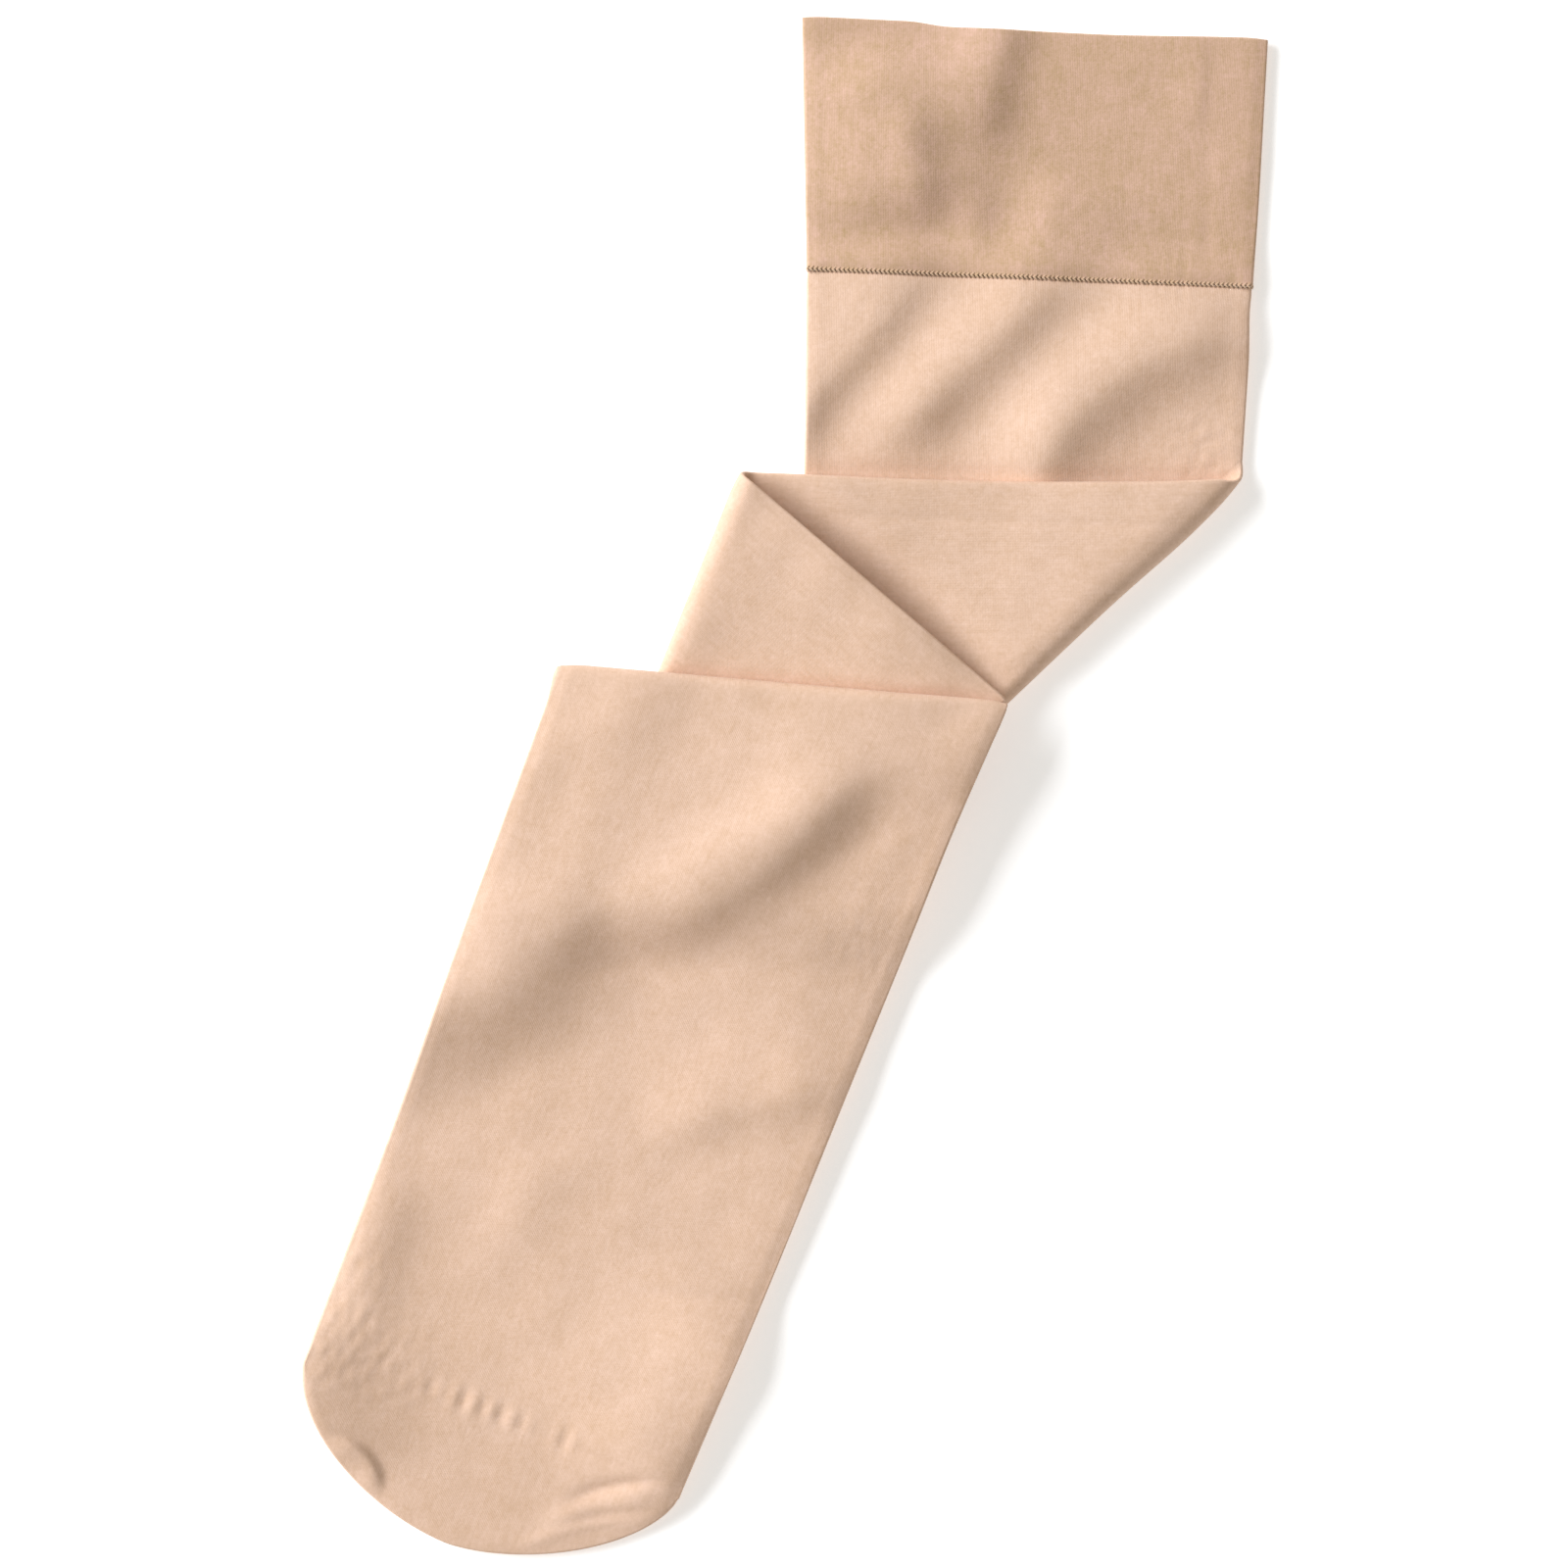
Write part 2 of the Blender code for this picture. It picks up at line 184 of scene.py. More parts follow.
#    stretch   from x   from y    to x     to y      bow    left    right   height
CREASES = (
    ("welt", 0.0590, 0.2080, 0.0515, 0.1740, 0.0, 0.0080, 0.0115, 0.0025),
    ("welt", 0.0270, 0.1930, 0.0310, 0.1530, 0.0, 0.0220, 0.0230, 0.0050),
    ("welt", 0.0320, 0.1800, 0.0375, 0.1530, 0.0, 0.0060, 0.0060, 0.0009),
    ("welt", 0.0520, 0.1570, 0.0505, 0.1380, 0.0, 0.0050, 0.0060, 0.0008),
    ("welt", 0.0765, 0.1620, 0.0700, 0.1380, 0.0, 0.0260, 0.0090, 0.0018),
    ("welt", 0.1125, 0.2000, 0.1120, 0.1760, 0.0, 0.0024, 0.0090, 0.0004),
    ("welt", 0.1135, 0.1950, 0.1135, 0.1360, 0.0, 0.0015, 0.0015, -0.00025),
    ("welt", 0.0080, 0.1587, 0.0238, 0.1582, 0.0, 0.0015, 0.0015, -0.0002),
    ("upper", -0.0080, 0.0875, 0.0350, 0.1365, 0.0, 0.0180, 0.0085, 0.0036),
    ("upper", 0.0265, 0.0930, 0.0720, 0.1352, 0.0, 0.0120, 0.0095, 0.0044),
    ("upper", 0.0640, 0.0800, 0.1220, 0.1220, 0.0096, 0.0160, 0.0110, 0.0050),
    ("upper", 0.0050, 0.0838, 0.1100, 0.0815, 0.0, 0.0024, 0.0024, -0.0005),
    ("across", 0.0112, 0.0718, 0.1156, 0.0681, 0.0, 0.0013, 0.0013, -0.0002),
    ("back", -0.0270, 0.0360, -0.0070, 0.0660, 0.0, 0.0120, 0.0100, 0.0012),
    ("lower", 0.0520, 0.0080, 0.0180, -0.0380, -0.004, 0.0080, 0.0080, 0.0007),
    ("lower", -0.0300, -0.0900, 0.0120, -0.0800, 0.001, 0.0140, 0.0080, 0.0020),
    ("lower", -0.1150, -0.1420, -0.1050, -0.1060, 0.0, 0.0110, 0.0100, 0.0024),
    ("lower", -0.0720, -0.1220, -0.0650, -0.0999, 0.0, 0.0090, 0.0090, 0.0008),
    ("lower", -0.1320, -0.1780, -0.1270, -0.1420, 0.0, 0.0040, 0.0230, 0.0054),
    ("lower", -0.0400, -0.1880, -0.0080, -0.1480, 0.0, 0.0260, 0.0140, 0.0054),
    ("lower", 0.0200, -0.0660, -0.0120, -0.1560, 0.0, 0.0080, 0.0220, 0.0018),
    ("lower", -0.0382, -0.1361, -0.0054, -0.1385, 0.0, 0.0015, 0.0015, -0.00035),
    ("lower", -0.0720, -0.0003, -0.0366, 0.0265, 0.0, 0.0090, 0.0090, 0.0010),
    ("lower", -0.1180, -0.1755, -0.1085, -0.1870, 0.002, 0.0013, 0.0050, 0.0014),
    ("lower", -0.0558, -0.1910, -0.0358, -0.1865, 0.001, 0.0018, 0.0018, -0.0008),
    ("lower", -0.0616, -0.1970, -0.0379, -0.1918, 0.001, 0.0028, 0.0021, 0.0007),
    ("lower", -0.0681, -0.2030, -0.0419, -0.1970, 0.001, 0.0018, 0.0018, 0.0005),
)
CREASE_TAPER = 0.25  # half the share of a crease's length over which each end fades

# Patches where the knit has pebbled a little
#    stretch    x        y        reach   height
PEBBLED = (
    ("lower", 0.0210, -0.0400, 0.014, 0.00006),
    ("lower", -0.1180, -0.1490, 0.012, 0.00011),
    ("lower", -0.1020, -0.1570, 0.012, 0.0001),
    ("lower", -0.1140, -0.1300, 0.010, 0.00008),
    ("upper", 0.0240, 0.1230, 0.010, 0.00006),
    ("upper", 0.1160, 0.0880, 0.012, 0.00008),
    ("welt", 0.0900, 0.1500, 0.020, 0.00005),
)

# Uneven waves over the cloth: seed, shortest and longest wave, how many
SLACK_WAVES = (11, 0.014, 0.045, 14)
PEBBLE_WAVES = (5, 0.0032, 0.0070, 30)

# Short gathers across the two seams: share of the way across, half width, half length, depth
GATHERS = {
    "lower": (
        "toe_seam",
        (
            (0.325, 0.0012, 0.0022, 0.00035),
            (0.410, 0.0012, 0.0030, 0.0006),
            (0.462, 0.0009, 0.0024, 0.00045),
            (0.512, 0.0012, 0.0024, 0.00055),
            (0.566, 0.0010, 0.0022, 0.0004),
            (0.682, 0.0012, 0.0030, 0.0004),
        ),
    ),
    "upper": (
        "welt_seam",
        [(share, 0.0009, 0.0055, 0.00016) for share in np.arange(0.50, 0.86, 0.026)],
    ),
}
GATHER_PROUD = 0.6  # height of the cloth beside a gather, as a share of its depth

# Mouth's sag: the shares of the way across where it starts, is whole, eases and ends, and its reach
SAG_STARTS, SAG_WHOLE, SAG_EASES, SAG_ENDS = 0.22, 0.32, 0.62, 1.0
SAG_REACH = 0.025

# Welt's seam: how much thinner the tube is there, how far that reaches, and how far up the welt
# follows the leg's creases
SEAM_NIP, SEAM_NIP_REACH, SEAM_BLEND = 0.0003, 0.0030, 0.014

# Linking stitch: a V of two slanting loops
STITCH_SLANT = (0.75, 0.65)  # along the seam, and down from it
STITCH_HALVES = (0.0003, 0.00022, 0.00085)  # half a loop's size across, out from the cloth and along
STITCH_APART = 0.00026  # from the seam to the middle of a loop
STITCH_ON_WALL, STITCH_ON_EDGE = 0.00006, -0.00015  # how far out from the cloth a loop stands

# How far from the fourth fold the lower leg is thicker, and how far from its point that takes to start
SWELL_REACH, SWELL_START = 0.012, 0.030

# Toe, down from its seam: its straight and its rounded part, how blunt its curve is on the left and on
# the right, and its rows' spacing as a share of the leg's
TOE_STRAIGHT, TOE_ROUND = 0.0035, 0.0340
TOE_LEFT_POWER, TOE_RIGHT_POWER = 1.8, 1.6
TOE_ROW_SHARE = 0.7


# Plane geometry


def unit(vectors):
    return vectors / np.linalg.norm(vectors, axis=-1, keepdims=True)


def smooth(share):
    share = np.clip(share, 0.0, 1.0)
    return share * share * (3 - 2 * share)


def shoulder(share):
    """A rise from 0 to 1 that is steepest at its start, like the shoulder of a fold."""
    return 1 - (1 - np.clip(share, 0.0, 1.0)) ** 2


def bell(distance, reach):
    return np.exp(-((distance / reach) ** 2))


def ramp(value, start, end):
    """A smooth rise from 0 at start to 1 at end."""
    return smooth((value - start) / (end - start))


def soft_least(one, other):
    """The lesser of two distances, blended where they are alike."""
    return (np.maximum(one, 1e-6) ** -4.0 + np.maximum(other, 1e-6) ** -4.0) ** -0.25


def lerp(start, end, share):
    return start + (end - start) * share


def cross_2d(a, b):
    return a[..., 0] * b[..., 1] - a[..., 1] * b[..., 0]


def distance_to_line(points, line):
    """Distance of each point from the endless line through two others."""
    return np.abs(cross_2d(unit(line[1] - line[0]), points - line[0]))


def distance_to_segment(points, start, end):
    along = end - start
    share = np.clip((points - start) @ along / (along @ along), 0.0, 1.0)
    return np.linalg.norm(points - start - share[..., None] * along, axis=-1)


def outline(stretch):
    """The corners of a stretch as it lies, in order. What lies on the upper leg may reach its welt."""
    first, last = STRETCHES[stretch]
    start = LINES["mouth" if stretch == "upper" else first]
    return np.array([start[0], start[1], LINES[last][1], LINES[last][0]])


def share_beyond(points, corners, reaches):
    """How far past a convex outline each point is, as a share of the reach for the side it is past."""
    middle = corners.mean(axis=0)
    total = np.zeros(points.shape[:-1])
    for corner, following, reach in zip(corners, np.roll(corners, -1, axis=0), reaches):
        along = unit(following - corner)
        out = np.array([along[1], -along[0]])
        out *= np.sign((corner - middle) @ out)
        total += np.maximum((points - corner) @ out / reach, 0.0) ** 2
    return np.sqrt(total)


# How the tube lies


def layers_under(stretch):
    """The stretches that a stretch lies on."""
    return LAYERS[: LAYERS.index(stretch)] if stretch in LAYERS else ()


def layers_from(stretch):
    """A stretch and those that lie on it."""
    return LAYERS[LAYERS.index(stretch) :] if stretch in LAYERS else ()


def half_of(stretch, sizes):
    """Half the thickness of a flattened stretch."""
    return (sizes.welt_wall if stretch == "welt" else sizes.wall) + sizes.slit / 2


def layer_of(sizes):
    """How much one stretch lifts the next."""
    return 2 * half_of("upper", sizes) + sizes.gap


def sides_before(stretch):
    """How far along the sock its left and right edge are where a stretch starts."""
    total = np.zeros(2)
    for first, last in list(STRETCHES.values())[: list(STRETCHES).index(stretch)]:
        total += np.linalg.norm(LINES[last] - LINES[first], axis=1)
    return total


def resting_height(stretch, points, sizes):
    """Height of a stretch's middle surface over the floor."""
    height = np.full(points.shape[:-1], half_of(stretch, sizes))
    for under in layers_under(stretch):
        covered = 1 - smooth(share_beyond(points, outline(under), DRAPES[under]))
        height += layer_of(sizes) * covered
    for lowest, x0, y0, x1, y1, reach, rise in LOFTS:
        if stretch in layers_from(lowest):
            away = distance_to_segment(points, np.array([x0, y0]), np.array([x1, y1]))
            height += rise * (1 - smooth(away / reach))
    for lowest, *ridge in RIDGES:
        if stretch in layers_from(lowest):
            height += crease_height(points, *ridge)
    return height


def crease_height(points, x0, y0, x1, y1, bow, left, right, height):
    start, along = np.array([x0, y0]), np.array([x1 - x0, y1 - y0])
    share = (points - start) @ along / (along @ along)
    beside = cross_2d(unit(along), points - start) - 4 * bow * share * (1 - share)
    fade = ramp(share, -CREASE_TAPER, CREASE_TAPER) * ramp(share, 1 + CREASE_TAPER, 1 - CREASE_TAPER)
    return height * fade * bell(beside, np.where(beside > 0, left, right))


def waves(points, seed, shortest, longest, count):
    """An uneven surface between about -1 and 1, as a sum of long waves that run every way."""
    random = np.random.default_rng(seed)
    total = np.zeros(points.shape[:-1])
    for _ in range(count):
        heading, phase = random.uniform(0, 2 * pi, 2)
        length = random.uniform(shortest, longest)
        along = points @ np.array([cos(heading), sin(heading)])
        total += np.sin(2 * pi * along / length + phase)
    return total / np.sqrt(count)


def gather_height(points, line, share, half_width, half_length, depth):
    """One short pinch across a seam, with the cloth a little proud on each side of it."""
    along = unit(line[1] - line[0])
    offset = points - lerp(*line, share)
    beside, down = offset @ along, cross_2d(along, offset)
    proud = bell(np.abs(beside) - 2 * half_width, half_width)
    return depth * bell(down, half_length) * (GATHER_PROUD * proud - bell(beside, half_width))


# How far past the edge of what lies on it a stretch's upper wall takes to rise. The upper leg's
# creases run on for a way under the springy edge of the stretch that lies across it.
PRESS_REACH = {"across": 0.014, "back": 0.003, "turn": 0.004}
UPPER_RUNS_ON = 0.012


def pressed(stretch, points):
    """1 where a stretch lies open, and 0 where others lie on it and press it flat."""
    if stretch == "upper":
        edge = (LINES["first_fold"][1], LINES["second_fold"][1])
        under = cross_2d(unit(edge[1] - edge[0]), points - edge[0])
        return 1 - smooth(under / UPPER_RUNS_ON)
    free = np.ones(points.shape[:-1])
    for over in layers_from(stretch)[1:]:
        free *= smooth(share_beyond(points, outline(over), [PRESS_REACH[stretch]] * 4))
    return free


def relief_of(stretch, points, from_left, from_right, from_fold, sizes):
    """How much the wall that faces up stands over the flat one. The distances are how far in each
    point is from the tube's two edges and from its folds."""
    past_fold, fold_reach, past_side, curl_left, curl_right = STAND_OFF[stretch]
    from_side = np.minimum(from_left, from_right)
    total = past_fold + past_side * shoulder(from_side / sizes.side_reach)
    total += curl_left * bell(from_left, CURL_REACH) + curl_right * bell(from_right, CURL_REACH)
    total += sizes.bead * bell(from_side - BEAD_IN, BEAD_REACH)
    total += sizes.slack * waves(points, *SLACK_WAVES)
    for where, *crease in CREASES:
        if where == stretch:
            total += sizes.crease_depth * crease_height(points, *crease)
    for where, x, y, reach, height in PEBBLED:
        if where == stretch:
            near = bell(np.linalg.norm(points - np.array([x, y]), axis=-1), reach)
            total += height * near * waves(points, *PEBBLE_WAVES)
    if stretch in GATHERS:
        seam, gathers = GATHERS[stretch]
        for gather in gathers:
            total += gather_height(points, LINES[seam], *gather)
    total = (total + np.sqrt(total**2 + RELIEF_ROUNDING**2)) / 2
    return total * pressed(stretch, points) * shoulder(from_fold / fold_reach)


# Rows of points. Each point holds its place, its relief, half its thickness and its place in the knit,
# which is how far round the tube it is and how far along.
PLACE, PLAN, HEIGHT = slice(0, 3), slice(0, 2), 2
RELIEF, HALF = 3, 4
KNIT, AROUND, ALONG = slice(5, 7), 5, 6
COLUMNS = 7
FAR = 1.0  # a distance longer than the sock


def column_shares(count, crowding):
    """Shares of the way across. The nearer crowding is to 1, the closer they are at the two edges."""
    even = np.linspace(-1.0, 1.0, count + 1)
    return 0.5 + 0.5 * lerp(even, np.sin(even * pi / 2), crowding)


def stretch_rows(stretch, sizes, across, opening, closing):
    """A stretch as rows of points. opening and closing are how far its first and last row keep from
    its two lines."""
    first, last = STRETCHES[stretch]
    start, end = LINES[first], LINES[last]
    begin, finish = (lerp(*line, across[:, None]) for line in (start, end))
    share_from = opening / distance_to_line(finish, start)
    share_to = 1 - closing / distance_to_line(begin, end)
    longest = np.linalg.norm(finish - begin, axis=1).max()
    steps = np.linspace(0.0, 1.0, int(longest / sizes.spacing) + 1)[:, None]
    share = lerp(share_from, share_to, steps)

    row = lerp(start[1] - start[0], end[1] - end[0], share[..., None])
    widths = [np.abs(cross_2d(unit(end[side] - start[side]), row)) for side in (0, 1)]
    left_inset, right_inset = (sizes.edge_half / width for width in widths)
    inset = lerp(left_inset, 1 - right_inset, across)[..., None]
    plan = lerp(lerp(*start, inset), lerp(*end, inset), share[..., None])
    for where, side, at, reach, shift in SWAYS:
        if where == stretch:
            near = across if side else 1 - across
            plan += (shift * bell(share - at, reach) * near)[..., None] * unit(row)

    grid = np.zeros((*share.shape, COLUMNS))
    grid[..., PLAN] = plan
    grid[..., HEIGHT] = resting_height(stretch, plan, sizes)
    sides = [distance_to_line(plan, (start[side], end[side])) for side in (0, 1)]
    folds = [distance_to_line(plan, LINES[name]) for name in (first, last) if name in FOLDS]
    from_fold = np.min([np.full(share.shape, FAR), *folds], axis=0)
    grid[..., RELIEF] = relief_of(stretch, plan, *sides, from_fold, sizes)
    grid[..., HALF] = half_of(stretch, sizes)
    thin_edges(grid, np.minimum(*sides), sizes)
    grid[..., AROUND] = across * widths[0].mean()
    runs = zip(sides_before(stretch), np.linalg.norm(end - start, axis=1))
    grid[..., ALONG] = lerp(*(before + share * run for before, run in runs), across)
    return grid


def thin_edges(grid, from_edge, sizes):
    """Thins the tube towards its springy edges, mostly from below."""
    thinned = (grid[..., HALF] - sizes.edge_half) * (1 - shoulder(from_edge / sizes.side_reach))
    grid[..., HALF] -= thinned
    grid[..., HEIGHT] += thinned / 2


def fold_rows(before, after, name, across, inner, count=10):
    """Rows that carry the tube round a fold, from the last row of a stretch to the first of the next.
    inner is a point on the side of the fold where the cloth lies."""
    line = LINES[name]
    along = unit(line[1] - line[0])
    outward = np.array([along[1], -along[0]])
    outward *= -np.sign((inner - line[0]) @ outward)
    rise = (after[:, HEIGHT] - before[:, HEIGHT]) / 2
    spread = rise
    if name in FOLD_BULGES:
        at, reach, bulge = FOLD_BULGES[name]
        spread = rise + bulge * bell(across - at, reach)
    rows = []
    for turn in np.linspace(0.0, pi, count + 1)[1:-1]:
        row = lerp(before, after, turn / pi)
        row[:, HEIGHT] = before[:, HEIGHT] + rise * (1 - cos(turn))
        row[:, PLAN] += outward * (spread * sin(turn))[:, None]
        rows.append(row)
    return np.array(rows)


def fold_reach(below, above, across, sizes):
    """How far from a fold's line the bend begins, for each column."""
    points = lerp(*LINES[STRETCHES[below][1]], across[:, None])
    heights = [resting_height(name, points, sizes) for name in (below, above)]
    return half_of(below, sizes) + (heights[1] - heights[0]) / 2


class Skin:
    """One closed surface round a middle surface, held as patches of points with their knit places.
    inset is how far inside the cloth's face it lies, and round_start and round_end say whether its
    first and last row end in a rounded rim."""

    ANGLES = np.linspace(pi / 2, -pi / 2, 9)  # round an edge, from one wall to the other

    def __init__(self, grid, inset=0.0, round_start=False, round_end=False):
        self.grid = grid
        self.inset = inset
        place = grid[..., PLACE]
        down, across = np.gradient(place, axis=0), np.gradient(place, axis=1)
        self.facing = unit(np.cross(down, across))
        right = unit(np.cross(self.facing[:, -1], down[:, -1]))
        left = unit(np.cross(down[:, 0], self.facing[:, 0]))
        ends = {}
        for row, is_round, way in ((0, round_start, -1), (-1, round_end, 1)):
            if is_round:
                out = way * unit(np.cross(across[row], self.facing[row]))
                right[row] = out[-1] = unit(right[row] + out[-1])
                left[row] = out[0] = unit(left[row] + out[0])
                ends[row] = (out, way)
        width = grid[:, -1:, AROUND]
        around = pi * grid[..., HALF]
        self.upper = self.wall(1), grid[..., KNIT]
        lower_knit = grid[..., KNIT].copy()
        lower_knit[..., 0] = 2 * width + around - lower_knit[..., 0]
        self.lower = self.wall(-1), lower_knit
        self.right = self.rim(np.s_[:, -1], right, 0, 1)
        self.left = self.rim(np.s_[:, 0], left, 0, -1)
        self.ends = [self.rim(np.s_[row], out, 1, way) for row, (out, way) in ends.items()]

    def moved(self, where, facing_share, out_share, out):
        """Points of the middle surface moved out to this skin."""
        grid, facing = self.grid[where], self.facing[where]
        reach = np.maximum(grid[..., HALF] - self.inset, grid[..., HALF] / 4)[..., None]
        place = grid[..., PLACE] + reach * (facing_share * facing + out_share * out)
        place[..., 2] += grid[..., RELIEF] * (1 + facing_share * facing[..., 2]) / 2
        return place

    def wall(self, side):
        return self.moved(np.s_[:], side, 0.0, 0.0)

    def rim(self, where, out, axis, way):
        """The rounded strip along one edge. axis is the knit's own: 0 round the tube, 1 along it."""
        places, knits = [], []
        for angle in self.ANGLES:
            places.append(self.moved(where, sin(angle), cos(angle), out))
            knit = self.grid[where][..., KNIT].copy()
            knit[..., axis] += way * (pi / 2 - angle) * self.grid[where][..., HALF]
            knits.append(knit)
        return np.stack(places, axis=1), np.stack(knits, axis=1)

    def patches(self):
        return [self.upper, self.lower, self.right, self.left, *self.ends]

    def loops(self, rows):
        """The closed loops of points round some rows, with their knit places."""
        found = []
        around = (self.upper, self.right, self.lower, self.left)
        for kind in (0, 1):
            upper, right, lower, left = (patch[kind][rows] for patch in around)
            if kind == 1:
                left = left.copy()
                left[..., 0] += 2 * right[:, -1:, 0]
            found.append(np.concatenate([upper, right, lower[:, ::-1], left[:, ::-1]], axis=1))
        return found


WELD, SLIVER = 2e-6, 1e-7  # points this close are one, and edges this short are taken out


def cloth_mesh(name, patches, hollow=()):
    """Patches as one mesh, welded where they meet. Those in hollow line a closed inside."""
    mesh = bpy.data.meshes.new(name)
    places, knits, faces, lining = [], [], [], []
    count = 0
    for number, (place, knit) in enumerate([*patches, *hollow]):
        rows, columns = place.shape[:2]
        index = count + np.arange(rows * columns).reshape(rows, columns)
        quads = np.stack([index[:-1, :-1], index[:-1, 1:], index[1:, 1:], index[1:, :-1]], axis=-1)
        places.append(place.reshape(-1, 3))
        knits.append(knit.reshape(-1, 2))
        faces.append(quads.reshape(-1, 4))
        lining.append(np.full(len(faces[-1]), int(number >= len(patches))))
        count += rows * columns
    faces, knits = np.concatenate(faces), np.concatenate(knits)
    mesh.from_pydata(np.concatenate(places).tolist(), [], faces.tolist())
    mesh.polygons.foreach_set("material_index", np.concatenate(lining).astype(np.int32))
    layer = mesh.uv_layers.new(name="knit")
    layer.data.foreach_set("uv", knits[faces.ravel()].astype(np.float32).ravel())

    shape = bmesh.new()
    shape.from_mesh(mesh)
    bmesh.ops.remove_doubles(shape, verts=shape.verts, dist=WELD)
    bmesh.ops.dissolve_degenerate(shape, edges=shape.edges, dist=SLIVER)
    bmesh.ops.recalc_face_normals(shape, faces=shape.faces)
    inner = [face for face in shape.faces if face.material_index == 1]
    bmesh.ops.reverse_faces(shape, faces=inner)
    for face in inner:
        face.material_index = 0
    shape.to_mesh(mesh)
    shape.free()
    mesh.shade_smooth()
    return mesh


def add_piece(mesh, slot, material, *nodes):
    """A finished piece: it rides on the sock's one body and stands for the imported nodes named."""
    piece = bpy.data.objects.new(mesh.name, mesh)
    bpy.context.scene.collection.objects.link(piece)
    mesh.materials.append(material)
    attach(piece, BODY)
    if nodes:
        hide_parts(*nodes)
    return piece


def add_leg_piece(mesh, sizes, colours, *nodes):
    """A finished piece in the leg's own jersey."""
    material = cloth_material("leg_jersey", colours.leg, colours.leg_deep, sizes, 0.4, 1.0)
    return add_piece(mesh, "leg_knit", material, *nodes)


def grid_area(grid):
    """The area of a middle surface, which is one wall of the flattened tube."""
    place = grid[..., PLACE]
    one, other = place[1:, 1:] - place[:-1, :-1], place[1:, :-1] - place[:-1, 1:]
    return float(np.linalg.norm(np.cross(one, other), axis=-1).sum() / 2)


def tube_cut(grid, plies=1):
    """Width, length and area of the knitted tube, opened out flat. Where the tube is turned in on
    itself it is two plies thick."""
    width = 2 * float(np.ptp(grid[..., AROUND], axis=1).max())
    length = plies * float(np.ptp(grid[..., ALONG], axis=0).max())
    return (width, length), min(2 * plies * grid_area(grid), width * length)


def join_stretches(names, sizes, across, opening):
    """Stretches folded into each other as one run of rows, which keeps clear of its first line by
    opening."""
    run = []
    for name, above in zip(names, [*names[1:], None]):
        closing = fold_reach(name, above, across, sizes) if above else half_of(name, sizes)
        grid = stretch_rows(name, sizes, across, opening, closing)
        if run:
            middle = outline(name).mean(axis=0)
            run.append(fold_rows(run[-1][-1], grid[0], STRETCHES[name][0], across, middle))
        run.append(grid)
        opening = closing
    return np.concatenate(run)


# Pieces


def welt_grid(sizes):
    """The welt's middle surface. At its seam it follows the creases of the leg below."""
    across = column_shares(sizes.columns, 0.5)
    grid = stretch_rows("welt", sizes, across, sizes.welt_wall / 2, sizes.gap / 2)
    to_mouth = distance_to_line(grid[..., PLAN], LINES["mouth"])
    sag = ramp(across, SAG_STARTS, SAG_WHOLE) * ramp(across, SAG_ENDS, SAG_EASES)
    grid[..., 1] -= sizes.mouth_sag * sag * (1 - smooth(to_mouth / SAG_REACH))
    to_seam = distance_to_line(grid[..., PLAN], LINES["welt_seam"])
    at_seam, above = half_of("upper", sizes) - SEAM_NIP, half_of("welt", sizes)
    nipped = lerp(at_seam, above, smooth(to_seam / SEAM_NIP_REACH))
    grid[..., HALF] = np.minimum(grid[..., HALF], nipped)
    leg = stretch_rows("upper", sizes, across, sizes.gap / 2, sizes.gap / 2)
    grid[..., RELIEF] = lerp(leg[0, :, RELIEF], grid[..., RELIEF], smooth(to_seam / SEAM_BLEND))
    return grid


def make_welt(sizes, colours):
    """The turned welt: one ply up the outside, rolled over at the mouth and back down inside."""
    grid = welt_grid(sizes)
    rows = np.arange(len(grid))
    outer_places, outer_knits = Skin(grid).loops(rows[::-1])
    inner_places, inner_knits = Skin(grid, sizes.welt_wall).loops(rows)
    inner_knits[..., 1] *= -1
    beyond = unit((grid[0] - grid[1])[:, PLACE].mean(axis=0))
    middle = (outer_places[-1] + inner_places[0]) / 2
    radius = (outer_places[-1] - inner_places[0]) / 2
    width = np.linalg.norm(radius, axis=1, keepdims=True)
    turns = np.linspace(0, pi, 8)[1:-1]
    rolled = [middle + radius * cos(turn) + beyond * width * sin(turn) for turn in turns]
    places = np.concatenate([outer_places, rolled, inner_places])
    knits = np.concatenate([outer_knits, [outer_knits[-1]] * len(rolled), inner_knits])
    material = cloth_material("welt_jersey", colours.welt, colours.welt_deep, sizes, 0.55, 1.4)
    mesh = cloth_mesh("welt_band", [(places, knits)])
    return add_piece(mesh, "welt_knit", material, "welt"), *tube_cut(grid, 2)


def make_folded_leg(sizes, colours):
    """The leg from the welt over its first two folds, with both its walls, open at the welt."""
    across = column_shares(sizes.columns, 0.5)
    grid = join_stretches(("upper", "across", "back"), sizes, across, sizes.gap / 2)
    to_seam = distance_to_line(grid[..., PLAN], LINES["welt_seam"])
    grid[..., HALF] -= SEAM_NIP * (1 - np.clip(to_seam / SEAM_NIP_REACH, 0.0, 1.0)) ** 2
    outer = Skin(grid, 0.0, False, True)
    inner_rows = np.unique([0, *range(1, len(grid), 2), len(grid) - 1])
    inner = Skin(grid[inner_rows], sizes.wall, False, True)
    ring = [np.concatenate(pair) for pair in zip(outer.loops([0]), inner.loops([0]))]
    mesh = cloth_mesh("folded_leg", [*outer.patches(), *inner.patches(), tuple(ring)])
    return add_leg_piece(mesh, sizes, colours, "leg"), *tube_cut(grid)


